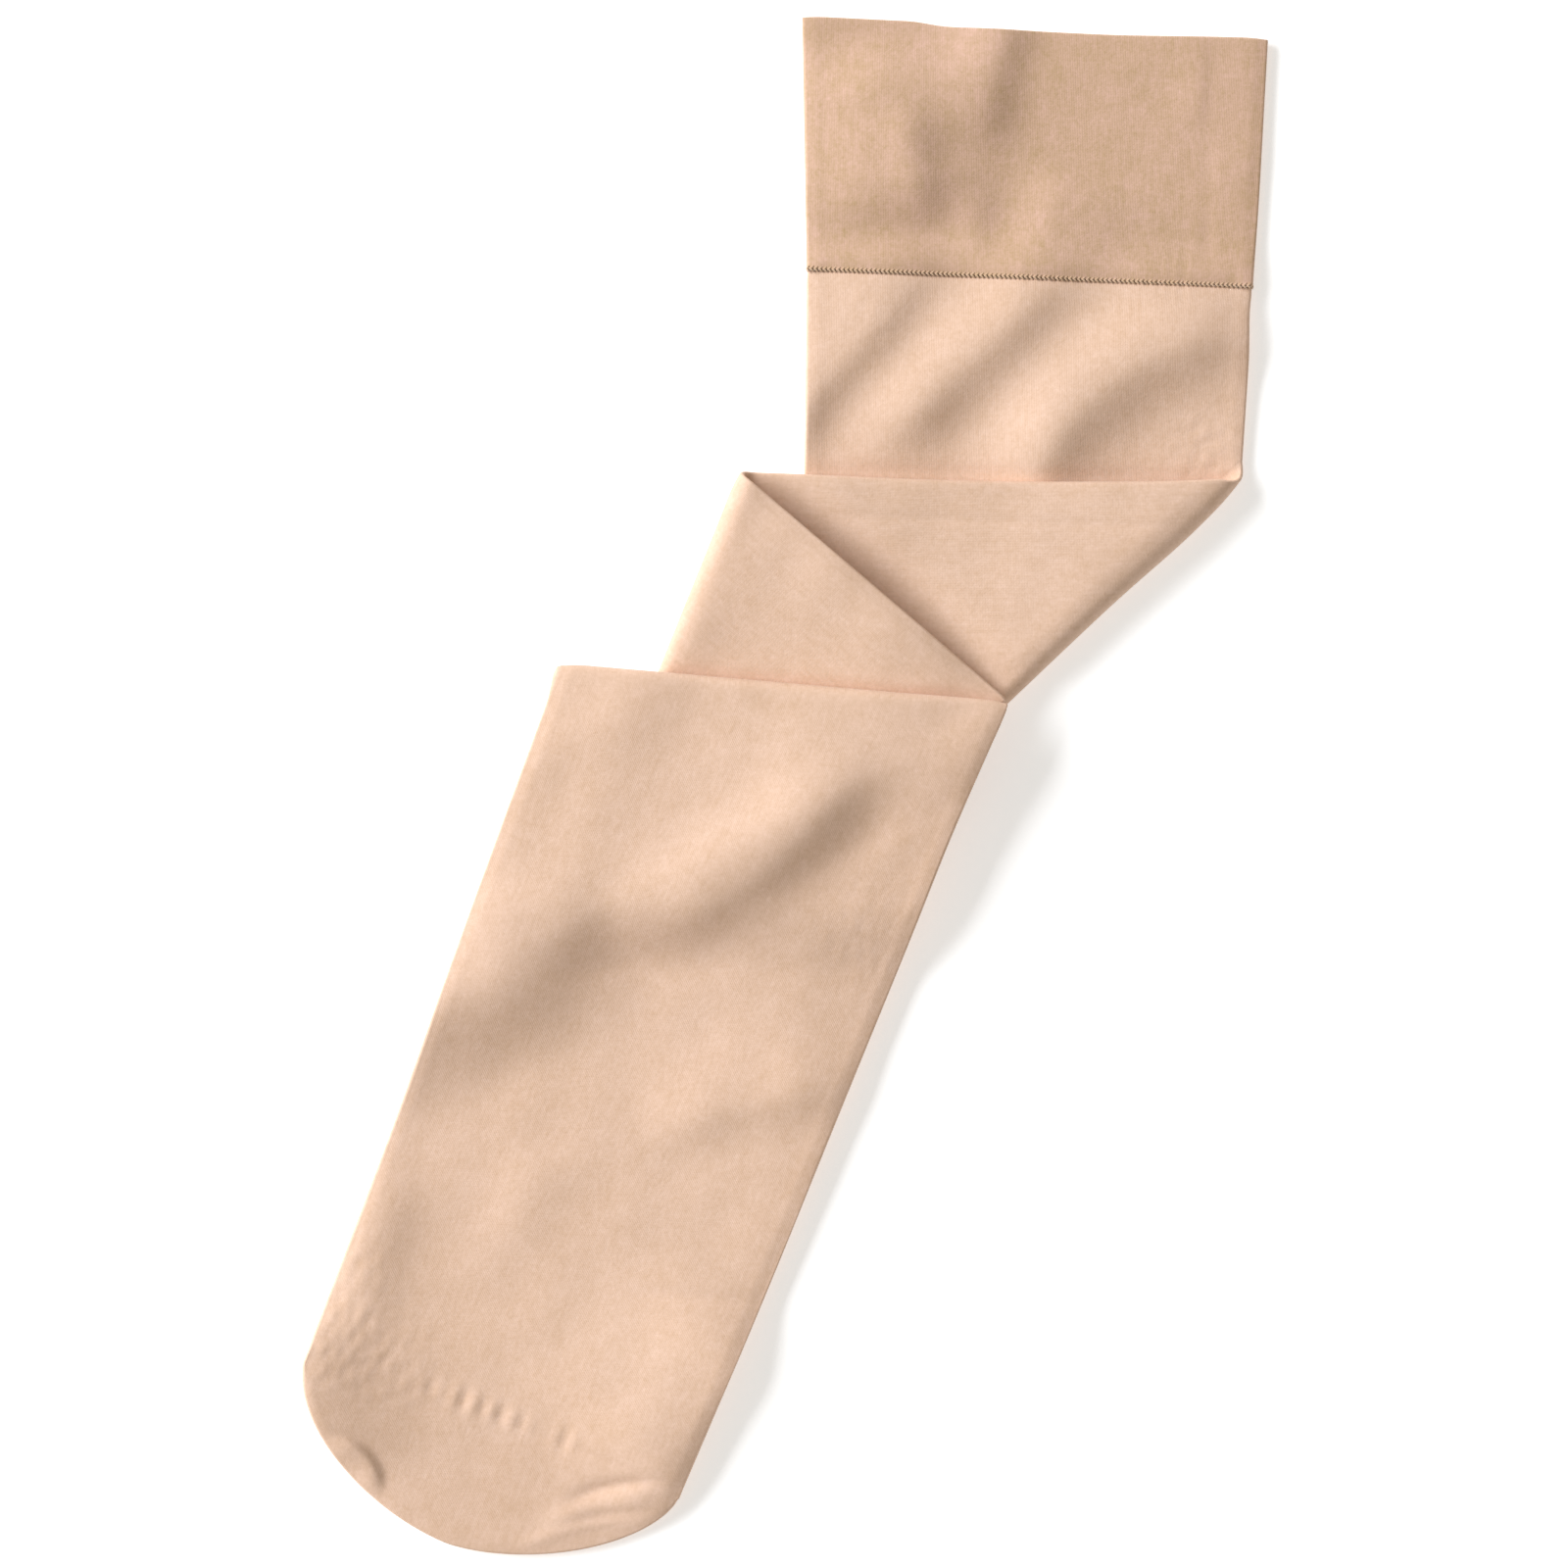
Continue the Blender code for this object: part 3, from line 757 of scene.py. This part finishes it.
def toe_rows(last, sizes):
    """Rows on from the lower leg's last one, round the toe to its rim."""
    left, right = LINES["toe_seam"]
    across = unit(right - left)
    down = np.array([across[1], -across[0]])
    half_width = np.linalg.norm(right - left) / 2
    offset = last[:, PLAN] - (left + right) / 2
    place = np.clip((offset @ across) / (half_width - sizes.edge_half), -1.0, 1.0)
    power = np.where(place < 0, TOE_LEFT_POWER, TOE_RIGHT_POWER)
    rim = TOE_STRAIGHT + (TOE_ROUND - sizes.edge_half) * (1 - np.abs(place) ** power) ** (1 / power)
    rows = []
    for share in np.linspace(0.0, 1.0, int(TOE_ROUND / (TOE_ROW_SHARE * sizes.spacing)) + 1)[1:]:
        row = last.copy()
        row[:, PLAN] += np.outer(rim * share, down)
        row[:, HEIGHT] = row[:, HALF] = half_of("lower", sizes)
        row[:, ALONG] += rim * share
        to_rim = sizes.edge_half + rim * (1 - share)
        sides = [soft_least(to_rim, half_width * (1 + way * place)) for way in (1, -1)]
        row[:, RELIEF] = relief_of("lower", row[:, PLAN], *sides, np.full(len(row), FAR), sizes)
        thin_edges(row, np.minimum(*sides), sizes)
        rows.append(row)
    return np.array(rows)


def closed_tube(name, grid, step, sizes):
    """A tube that is closed at both ends. Its inside skips rows and columns by step."""
    inner = Skin(grid[::step, ::step], sizes.wall, True, True)
    return cloth_mesh(name, Skin(grid, 0.0, True, True).patches(), inner.patches())


def fold_swell(points, sizes):
    """Half of what the fourth fold adds to the lower leg's thickness, next to that fold."""
    line = LINES["fourth_fold"]
    near = 1 - smooth(distance_to_line(points, line) / SWELL_REACH)
    from_point = smooth(np.linalg.norm(points - line[1], axis=-1) / SWELL_START)
    return layer_of(sizes) / 2 * near * from_point


def make_lower_leg(sizes, colours):
    """The lower leg and its closed toe. It is as thick as a fold where it turns under at the fourth."""
    across = column_shares(sizes.lower_columns, 1.0)
    at_fold = fold_swell(lerp(*LINES["fourth_fold"], across[:, None]), sizes)
    grid = stretch_rows("lower", sizes, across, half_of("lower", sizes) + at_fold, 0.0)
    swell = fold_swell(grid[..., PLAN], sizes)
    grid[..., HEIGHT] -= swell
    grid[..., HALF] += swell
    grid = np.concatenate([grid, toe_rows(grid[-1], sizes)])
    mesh = closed_tube("lower_leg", grid, 2, sizes)
    return add_leg_piece(mesh, sizes, colours, "leg", "toe"), *tube_cut(grid)


def make_hidden_turn(sizes, colours):
    """The short turn between the third fold and the fourth, tucked in short of both."""
    across = column_shares(sizes.columns // 3, 0.0)
    end = half_of("turn", sizes)
    grid = stretch_rows("turn", sizes, across, end, end)
    mesh = closed_tube("hidden_turn", grid, 1, sizes)
    return add_leg_piece(mesh, sizes, colours, "leg"), *tube_cut(grid)


def add_stitch(shape, point, along, down, out):
    """One linking stitch, with out the way that the cloth faces there."""
    lift = STITCH_ON_WALL if abs(out[2]) > 0.5 else STITCH_ON_EDGE
    for lean in (-1, 1):
        axis = unit(STITCH_SLANT[0] * along + STITCH_SLANT[1] * lean * down)
        centre = point + lift * out + STITCH_APART * lean * down
        turned = np.column_stack([np.cross(out, axis), out, axis]) * np.array(STITCH_HALVES)
        made = bmesh.ops.create_uvsphere(shape, u_segments=6, v_segments=4, radius=1.0)
        for vertex in made["verts"]:
            vertex.co = Vector(centre + turned @ np.array(vertex.co))


def make_linking(sizes, colours):
    """The row of small V-shaped stitches that links the welt to the leg, all round the tube."""
    loop = Skin(welt_grid(sizes)[-2:]).loops([1])[0][0]
    travelled = np.concatenate([[0.0], np.cumsum(np.linalg.norm(np.diff(loop, axis=0), axis=1))])
    count = int(travelled[-1] / sizes.stitch)
    down = np.append(unit(LINES["welt_seam"][0] - LINES["mouth"][0]), 0.0)
    shape = bmesh.new()
    for number in range(count):
        at = travelled[-1] * (number + 0.5) / count
        point, ahead = (
            np.array([np.interp(where, travelled, loop[:, axis]) for axis in range(3)])
            for where in (at, min(at + sizes.stitch / 4, travelled[-1]))
        )
        along = unit(ahead - point)
        out = unit(np.cross(down, along))
        if out @ (point - loop.mean(axis=0)) < 0 and abs(out[2]) < 0.5:
            out = -out
        add_stitch(shape, point, along, down, out)
    mesh = bpy.data.meshes.new("welt_linking")
    bmesh.ops.recalc_face_normals(shape, faces=shape.faces)
    shape.to_mesh(mesh)
    shape.free()
    mesh.shade_smooth()
    return add_piece(mesh, "welt_knit", thread_material(colours))


# Materials

DEEP_SHARE = 0.1  # how much of its deeper shade even yarn has


def new_group(name, inputs, outputs):
    """A shader group with its sockets, and the nodes at its two ends."""
    group = bpy.data.node_groups.new(name, "ShaderNodeTree")
    for label, kind, default in inputs:
        socket = group.interface.new_socket(label, in_out="INPUT", socket_type=kind)
        socket.default_value = default
    for label, kind in outputs:
        group.interface.new_socket(label, in_out="OUTPUT", socket_type=kind)
    return group, group.nodes.new("NodeGroupInput"), group.nodes.new("NodeGroupOutput")


def set_sockets(node, values):
    for label, value in values.items():
        node.inputs[label].default_value = value


def math_node(tree, operation, first, second=None, third=None):
    """A Math node fed with sockets or numbers."""
    node = tree.nodes.new("ShaderNodeMath")
    node.operation = operation
    for number, value in enumerate((first, second, third)):
        if isinstance(value, bpy.types.NodeSocket):
            tree.links.new(value, node.inputs[number])
        elif value is not None:
            node.inputs[number].default_value = value
    return node.outputs[0]


def noise_node(tree, vector, scale, detail, roughness=0.5):
    node = tree.nodes.new("ShaderNodeTexNoise")
    tree.links.new(vector, node.inputs["Vector"])
    set_sockets(node, {"Scale": scale, "Detail": detail, "Roughness": roughness})
    return node.outputs["Fac"]


def knit_place(tree):
    """The place in the knit: how far round the tube, and how far along it."""
    knit = tree.nodes.new("ShaderNodeUVMap")
    knit.uv_map = "knit"
    return knit.outputs["UV"]


def jersey_group():
    """Plain jersey: columns of V-shaped stitches, from the knit's own coordinates."""
    found = bpy.data.node_groups.get("jersey_stitches")
    if found:
        return found
    inputs = (
        ("Wale Width", "NodeSocketFloat", 0.0009),
        ("Course Height", "NodeSocketFloat", 0.0007),
    )
    group, entry, leaving = new_group("jersey_stitches", inputs, (("Height", "NodeSocketFloat"),))
    apart = group.nodes.new("ShaderNodeSeparateXYZ")
    group.links.new(knit_place(group), apart.inputs[0])
    maths = partial(math_node, group)
    wales = maths("DIVIDE", apart.outputs["X"], entry.outputs["Wale Width"])
    courses = maths("DIVIDE", apart.outputs["Y"], entry.outputs["Course Height"])
    in_wale = maths("SUBTRACT", maths("FRACT", wales), 0.5)
    from_middle = maths("MULTIPLY", maths("ABSOLUTE", in_wale), 2.0)
    arm = maths("SINE", maths("MULTIPLY", from_middle, pi))
    slanted = maths("MULTIPLY_ADD", from_middle, 0.6, courses)
    stitch = maths("SINE", maths("MULTIPLY", slanted, 2 * pi))
    stitch = maths("MULTIPLY_ADD", stitch, 0.25, 0.75)
    group.links.new(maths("MULTIPLY", arm, stitch), leaving.inputs["Height"])
    return group


def yarn_group():
    """Uneven yarn: clouds and mottling of a deeper shade, a fine speckle, and streaks down the knit."""
    found = bpy.data.node_groups.get("yarn_tone")
    if found:
        return found
    inputs = (
        ("Yarn", "NodeSocketColor", (0.8, 0.6, 0.5, 1.0)),
        ("Deep Yarn", "NodeSocketColor", (0.7, 0.5, 0.4, 1.0)),
        ("Cloud", "NodeSocketFloat", 0.5),
        ("Grain", "NodeSocketFloat", 1.0),
    )
    outputs = (("Colour", "NodeSocketColor"), ("Speckle", "NodeSocketFloat"))
    group, entry, leaving = new_group("yarn_tone", inputs, outputs)
    place = group.nodes.new("ShaderNodeTexCoord").outputs["Object"]
    drawn_out = group.nodes.new("ShaderNodeMapping")  # seven times finer round the tube than along it
    drawn_out.inputs["Scale"].default_value = (950.0, 130.0, 1.0)
    group.links.new(knit_place(group), drawn_out.inputs["Vector"])
    speckle = noise_node(group, place, 900.0, 3.0, 0.75)
    # Each unevenness: its noise, the socket that strengthens it, its most
    parts = (
        (noise_node(group, place, 38.0, 3.0), "Cloud", 1.0),
        (noise_node(group, place, 240.0, 2.0), "Cloud", 1.4),
        (speckle, "Grain", 1.1),
        (noise_node(group, drawn_out.outputs["Vector"], 1.0, 2.0), "Grain", 0.5),
    )
    share = DEEP_SHARE
    for noise, strength, most in parts:
        uneven = math_node(group, "MULTIPLY_ADD", noise, most, -most / 2)
        share = math_node(group, "MULTIPLY_ADD", uneven, entry.outputs[strength], share)
    mix = group.nodes.new("ShaderNodeMix")
    mix.data_type = "RGBA"
    mix.clamp_factor = False
    group.links.new(share, mix.inputs["Factor"])
    # Its colour sockets share their names with its other kinds, so they are given by place
    group.links.new(entry.outputs["Yarn"], mix.inputs[6])
    group.links.new(entry.outputs["Deep Yarn"], mix.inputs[7])
    group.links.new(mix.outputs[2], leaving.inputs["Colour"])
    group.links.new(speckle, leaving.inputs["Speckle"])
    return group


def start_material(name, values):
    """A material with its tree and its Principled shader, set to some values."""
    material = bpy.data.materials.new(name)
    material.use_nodes = True
    shader = material.node_tree.nodes["Principled BSDF"]
    set_sockets(shader, values)
    return material, material.node_tree, shader


def place_group(tree, group, values):
    """A shader group placed in a material with its own values."""
    node = tree.nodes.new("ShaderNodeGroup")
    node.node_tree = group
    set_sockets(node, values)
    return node.outputs


def add_bump(tree, shader, height, strength, distance):
    bump = tree.nodes.new("ShaderNodeBump")
    set_sockets(bump, {"Strength": strength, "Distance": distance})
    tree.links.new(height, bump.inputs["Height"])
    tree.links.new(bump.outputs["Normal"], shader.inputs["Normal"])


def cloth_material(name, colour, deep, sizes, cloud, grain):
    """Matt jersey of fine nylon and cotton, with a soft nap."""
    found = bpy.data.materials.get(name)
    if found:
        return found
    nap = {"Metallic": 0.0, "Specular IOR Level": 0.2, "Sheen Weight": 0.18, "Sheen Roughness": 0.45}
    material, tree, shader = start_material(name, nap)
    tone = {"Yarn": (*colour, 1.0), "Deep Yarn": (*deep, 1.0), "Cloud": cloud, "Grain": grain}
    yarn = place_group(tree, yarn_group(), tone)
    knit = {"Wale Width": sizes.wale, "Course Height": sizes.course}
    jersey = place_group(tree, jersey_group(), knit)
    tree.links.new(yarn["Colour"], shader.inputs["Base Color"])
    rough = math_node(tree, "MULTIPLY_ADD", yarn["Speckle"], 0.12, 0.80)
    tree.links.new(rough, shader.inputs["Roughness"])
    height = math_node(tree, "MULTIPLY_ADD", jersey["Height"], 0.35, yarn["Speckle"])
    add_bump(tree, shader, height, 0.7, 0.00012)
    return material


def thread_material(colours):
    """Linking thread: the welt's own yarn, a shade deeper, with a twisted grain."""
    values = {"Specular IOR Level": 0.25, "Roughness": 0.8}
    material, tree, shader = start_material("linking_thread", values)
    tone = {"Yarn": (*colours.thread, 1.0), "Deep Yarn": (*colours.welt_deep, 1.0), "Cloud": 0.5}
    yarn = place_group(tree, yarn_group(), tone)
    tree.links.new(yarn["Colour"], shader.inputs["Base Color"])
    add_bump(tree, shader, yarn["Speckle"], 0.4, 0.0001)
    return material


def floor_material(colours, glow):
    """A matt white table, softly lit from below, with the faintest unevenness."""
    white = (*colours.floor, 1.0)
    values = {
        "Base Color": white,
        "Specular IOR Level": 0.0,
        "Emission Color": white,
        "Emission Strength": glow,
    }
    material, tree, shader = start_material("pale_floor", values)
    place = tree.nodes.new("ShaderNodeTexCoord").outputs["Object"]
    rough = math_node(tree, "MULTIPLY_ADD", noise_node(tree, place, 3.0, 2.0), 0.05, 0.9)
    tree.links.new(rough, shader.inputs["Roughness"])
    return material


# Stage

FLOOR_BELOW = 0.0001  # from the sock's underside down to the floor
CLIP_END = 100.0


def lay_floor(studio, colours):
    """A wide floor just under the sock."""
    mesh = bpy.data.meshes.new("pale_floor")
    half = studio.floor
    corners = [(-half, -half, 0.0), (half, -half, 0.0), (half, half, 0.0), (-half, half, 0.0)]
    mesh.from_pydata(corners, [], [(0, 1, 2, 3)])
    mesh.materials.append(floor_material(colours, studio.floor_glow))
    floor = bpy.data.objects.new("pale_floor", mesh)
    floor.location.z = CAD_LOW.z - FLOOR_BELOW
    bpy.context.scene.collection.objects.link(floor)


def hang_window_light(studio, colours):
    """A long soft light from one side, aimed at the middle of the sock."""
    light = bpy.data.lights.new("window_light", "AREA")
    light.shape = "RECTANGLE"
    light.size = studio.key_size
    light.size_y = studio.key_size / 2
    light.energy = studio.key_power
    light.color = colours.window
    lamp = bpy.data.objects.new("window_light", light)
    bpy.context.scene.collection.objects.link(lamp)
    heading, height, away = studio.key_azimuth, studio.key_elevation, studio.key_distance
    flat = away * cos(height)
    lamp.location = (flat * cos(heading), flat * sin(heading), away * sin(height))
    lamp.rotation_euler = (-lamp.location).to_track_quat("-Z", "Y").to_euler()


def fill_room(studio, colours):
    """Soft light from all round."""
    world = bpy.data.worlds.new("soft_room")
    world.use_nodes = True
    room = {"Color": (*colours.room, 1.0), "Strength": studio.room}
    set_sockets(world.node_tree.nodes["Background"], room)
    bpy.context.scene.world = world


def set_camera(studio):
    """A camera that looks straight down at the middle of the sock."""
    scene = bpy.context.scene
    lens = bpy.data.cameras.new("overhead")
    lens.lens = studio.lens * 1000  # millimetres
    lens.clip_end = CLIP_END
    camera = bpy.data.objects.new("overhead", lens)
    scene.collection.objects.link(camera)
    half_view = lens.sensor_width / 2 / lens.lens
    camera.location = (0.0, 0.0, studio.view_width / 2 / half_view)
    scene.camera = camera
    scene.view_settings.view_transform = "Standard"


# Add-on


def setting(kind, **unit):
    """A kind of setting, made by giving its name, its description and its default."""

    def made(name, description, default):
        return kind(name=name, description=description, default=default, **unit)

    return made


count_of = setting(IntProperty)
strength_of = setting(FloatProperty)
share_of = setting(FloatProperty, subtype="FACTOR")
metres = setting(FloatProperty, unit="LENGTH")
watts = setting(FloatProperty, unit="POWER")
angle_of = setting(FloatProperty, subtype="ANGLE")
tint = setting(FloatVectorProperty, subtype="COLOR")


class SockSizes(PropertyGroup):
    """Sizes of the cloth, shared by every piece."""

    wall: metres("Leg Wall", "Thickness of the leg's knitted wall", 0.0010)
    welt_wall: metres("Welt Wall", "Thickness of the welt's two plies", 0.0014)
    slit: metres("Slit", "Space left inside the flattened tube", 0.0004)
    gap: metres("Gap", "Space between stretches and at the welt's seam", 0.0003)
    spacing: metres("Row Spacing", "Distance between rows of the mesh", 0.0014)
    columns: count_of("Leg Columns", "Columns across one wall of the folded leg", 92)
    lower_columns: count_of("Lower Leg Columns", "Columns across one wall of the lower leg", 128)
    wale: metres("Wale Width", "Width of one column of stitches", 0.0009)
    course: metres("Course Height", "Height of one row of stitches", 0.0007)
    stitch: metres("Stitch", "Length of one linking stitch at the welt", 0.0012)
    side_reach: metres("Side Reach", "How far in from its edges the tube has its full thickness", 0.007)
    edge_half: metres("Edge Half", "Half the tube's thickness at its two edges", 0.0005)
    bead: metres("Edge Bead", "Height of the faint ridge inside each edge", 0.0001)
    slack: metres("Slack", "Height of the long uneven waves", 0.00012)
    crease_depth: share_of("Crease Depth", "Multiplies the height of every crease", 1.0)
    mouth_sag: metres("Mouth Sag", "How far the mouth sags right of its step", 0.0011)


class SockColours(PropertyGroup):
    """Colours of the yarns, the floor and the light."""

    leg: tint("Leg", "Yarn of the leg", SLOT_COLOURS["leg_knit"])
    leg_deep: tint("Leg, Deep", "Deeper shade in the leg's yarn", (0.61, 0.39, 0.23))
    welt: tint("Welt", "Yarn of the doubled welt", SLOT_COLOURS["welt_knit"])
    welt_deep: tint("Welt, Deep", "Deeper shade in the welt's yarn", (0.484, 0.332, 0.154))
    thread: tint("Thread", "Linking thread at the welt", (0.60, 0.42, 0.29))
    floor: tint("Floor", "Pale floor", (0.97, 0.975, 0.98))
    window: tint("Window", "Light from the window", (0.95, 0.965, 1.0))
    room: tint("Room", "Light from all round", (1.0, 0.96, 0.88))


class SockStudio(PropertyGroup):
    """The floor, the lights and the camera."""

    floor: metres("Floor", "Half the floor's side", 8.0)
    key_azimuth: angle_of("Light Heading", "Where the light stands, from +X", radians(158))
    key_elevation: angle_of("Light Height", "How high the light stands", radians(30))
    key_distance: metres("Light Distance", "From the sock to the light", 8.0)
    key_size: metres("Light Width", "Width of the light", 7.2)
    key_power: watts("Light Power", "Power of the light", 915.0)
    room: strength_of("Room Light", "Strength of the light from all round", 0.39)
    floor_glow: strength_of("Floor Glow", "How brightly the table is lit from below", 0.40)
    lens: metres("Lens", "Focal length", 0.200)
    view_width: metres("View Width", "Width seen at the floor", 0.420)


def settings(context):
    """The sizes and colours set in the panel."""
    return context.scene.sock_sizes, context.scene.sock_colours


class SOCK_OT_knit_welt(Operator):
    """Knit the doubled welt, rolled over at the mouth"""

    bl_idname = "sock.knit_welt"
    bl_label = "Knit Welt"

    def execute(self, context):
        piece, flat, area = make_welt(*settings(context))
        linking = make_linking(*settings(context))
        return {"FINISHED"}


class SOCK_OT_fold_leg(Operator):
    """Knit the leg below the welt, folded over to the left and back"""

    bl_idname = "sock.fold_leg"
    bl_label = "Fold Leg"

    def execute(self, context):
        piece, flat, area = make_folded_leg(*settings(context))
        return {"FINISHED"}


class SOCK_OT_tuck_turn(Operator):
    """Knit the short turn hidden between the folded leg and the lower leg"""

    bl_idname = "sock.tuck_turn"
    bl_label = "Tuck Turn"

    def execute(self, context):
        piece, flat, area = make_hidden_turn(*settings(context))
        return {"FINISHED"}


class SOCK_OT_lay_lower_leg(Operator):
    """Knit the lower leg over the folds and down to its rounded toe"""

    bl_idname = "sock.lay_lower_leg"
    bl_label = "Lay Lower Leg"

    def execute(self, context):
        piece, flat, area = make_lower_leg(*settings(context))
        return {"FINISHED"}


class SOCK_OT_set_stage(Operator):
    """Lay the floor and set the lights and the camera over the sock"""

    bl_idname = "sock.set_stage"
    bl_label = "Set Stage"

    def execute(self, context):
        studio, colours = context.scene.sock_studio, context.scene.sock_colours
        lay_floor(studio, colours)
        hang_window_light(studio, colours)
        fill_room(studio, colours)
        set_camera(studio)
        return {"FINISHED"}


class SOCK_PT_panel(Panel):
    """Everything the sock is made with"""

    bl_idname = "SOCK_PT_panel"
    bl_label = "Laid-Out Sock"
    bl_space_type = "VIEW_3D"
    bl_region_type = "UI"
    bl_category = "Sock"

    def draw(self, context):
        for operator in OPERATORS:
            self.layout.operator(operator.bl_idname)
        for group in GROUPS:
            values = getattr(context.scene, group)
            box = self.layout.box()
            for name in type(values).__annotations__:
                box.prop(values, name)


GROUPS = {"sock_sizes": SockSizes, "sock_colours": SockColours, "sock_studio": SockStudio}
OPERATORS = (
    SOCK_OT_knit_welt,
    SOCK_OT_fold_leg,
    SOCK_OT_tuck_turn,
    SOCK_OT_lay_lower_leg,
    SOCK_OT_set_stage,
)


def register():
    for name, group in GROUPS.items():
        bpy.utils.register_class(group)
        setattr(bpy.types.Scene, name, PointerProperty(type=group))
    for item in (*OPERATORS, SOCK_PT_panel):
        bpy.utils.register_class(item)


def unregister():
    for item in (SOCK_PT_panel, *reversed(OPERATORS)):
        bpy.utils.unregister_class(item)
    for name, group in GROUPS.items():
        delattr(bpy.types.Scene, name)
        bpy.utils.unregister_class(group)


def main():
    register()
    bpy.ops.sock.knit_welt()
    bpy.ops.sock.fold_leg()
    bpy.ops.sock.tuck_turn()
    bpy.ops.sock.lay_lower_leg()
    bpy.ops.sock.set_stage()


if __name__ == "__main__":
    main()
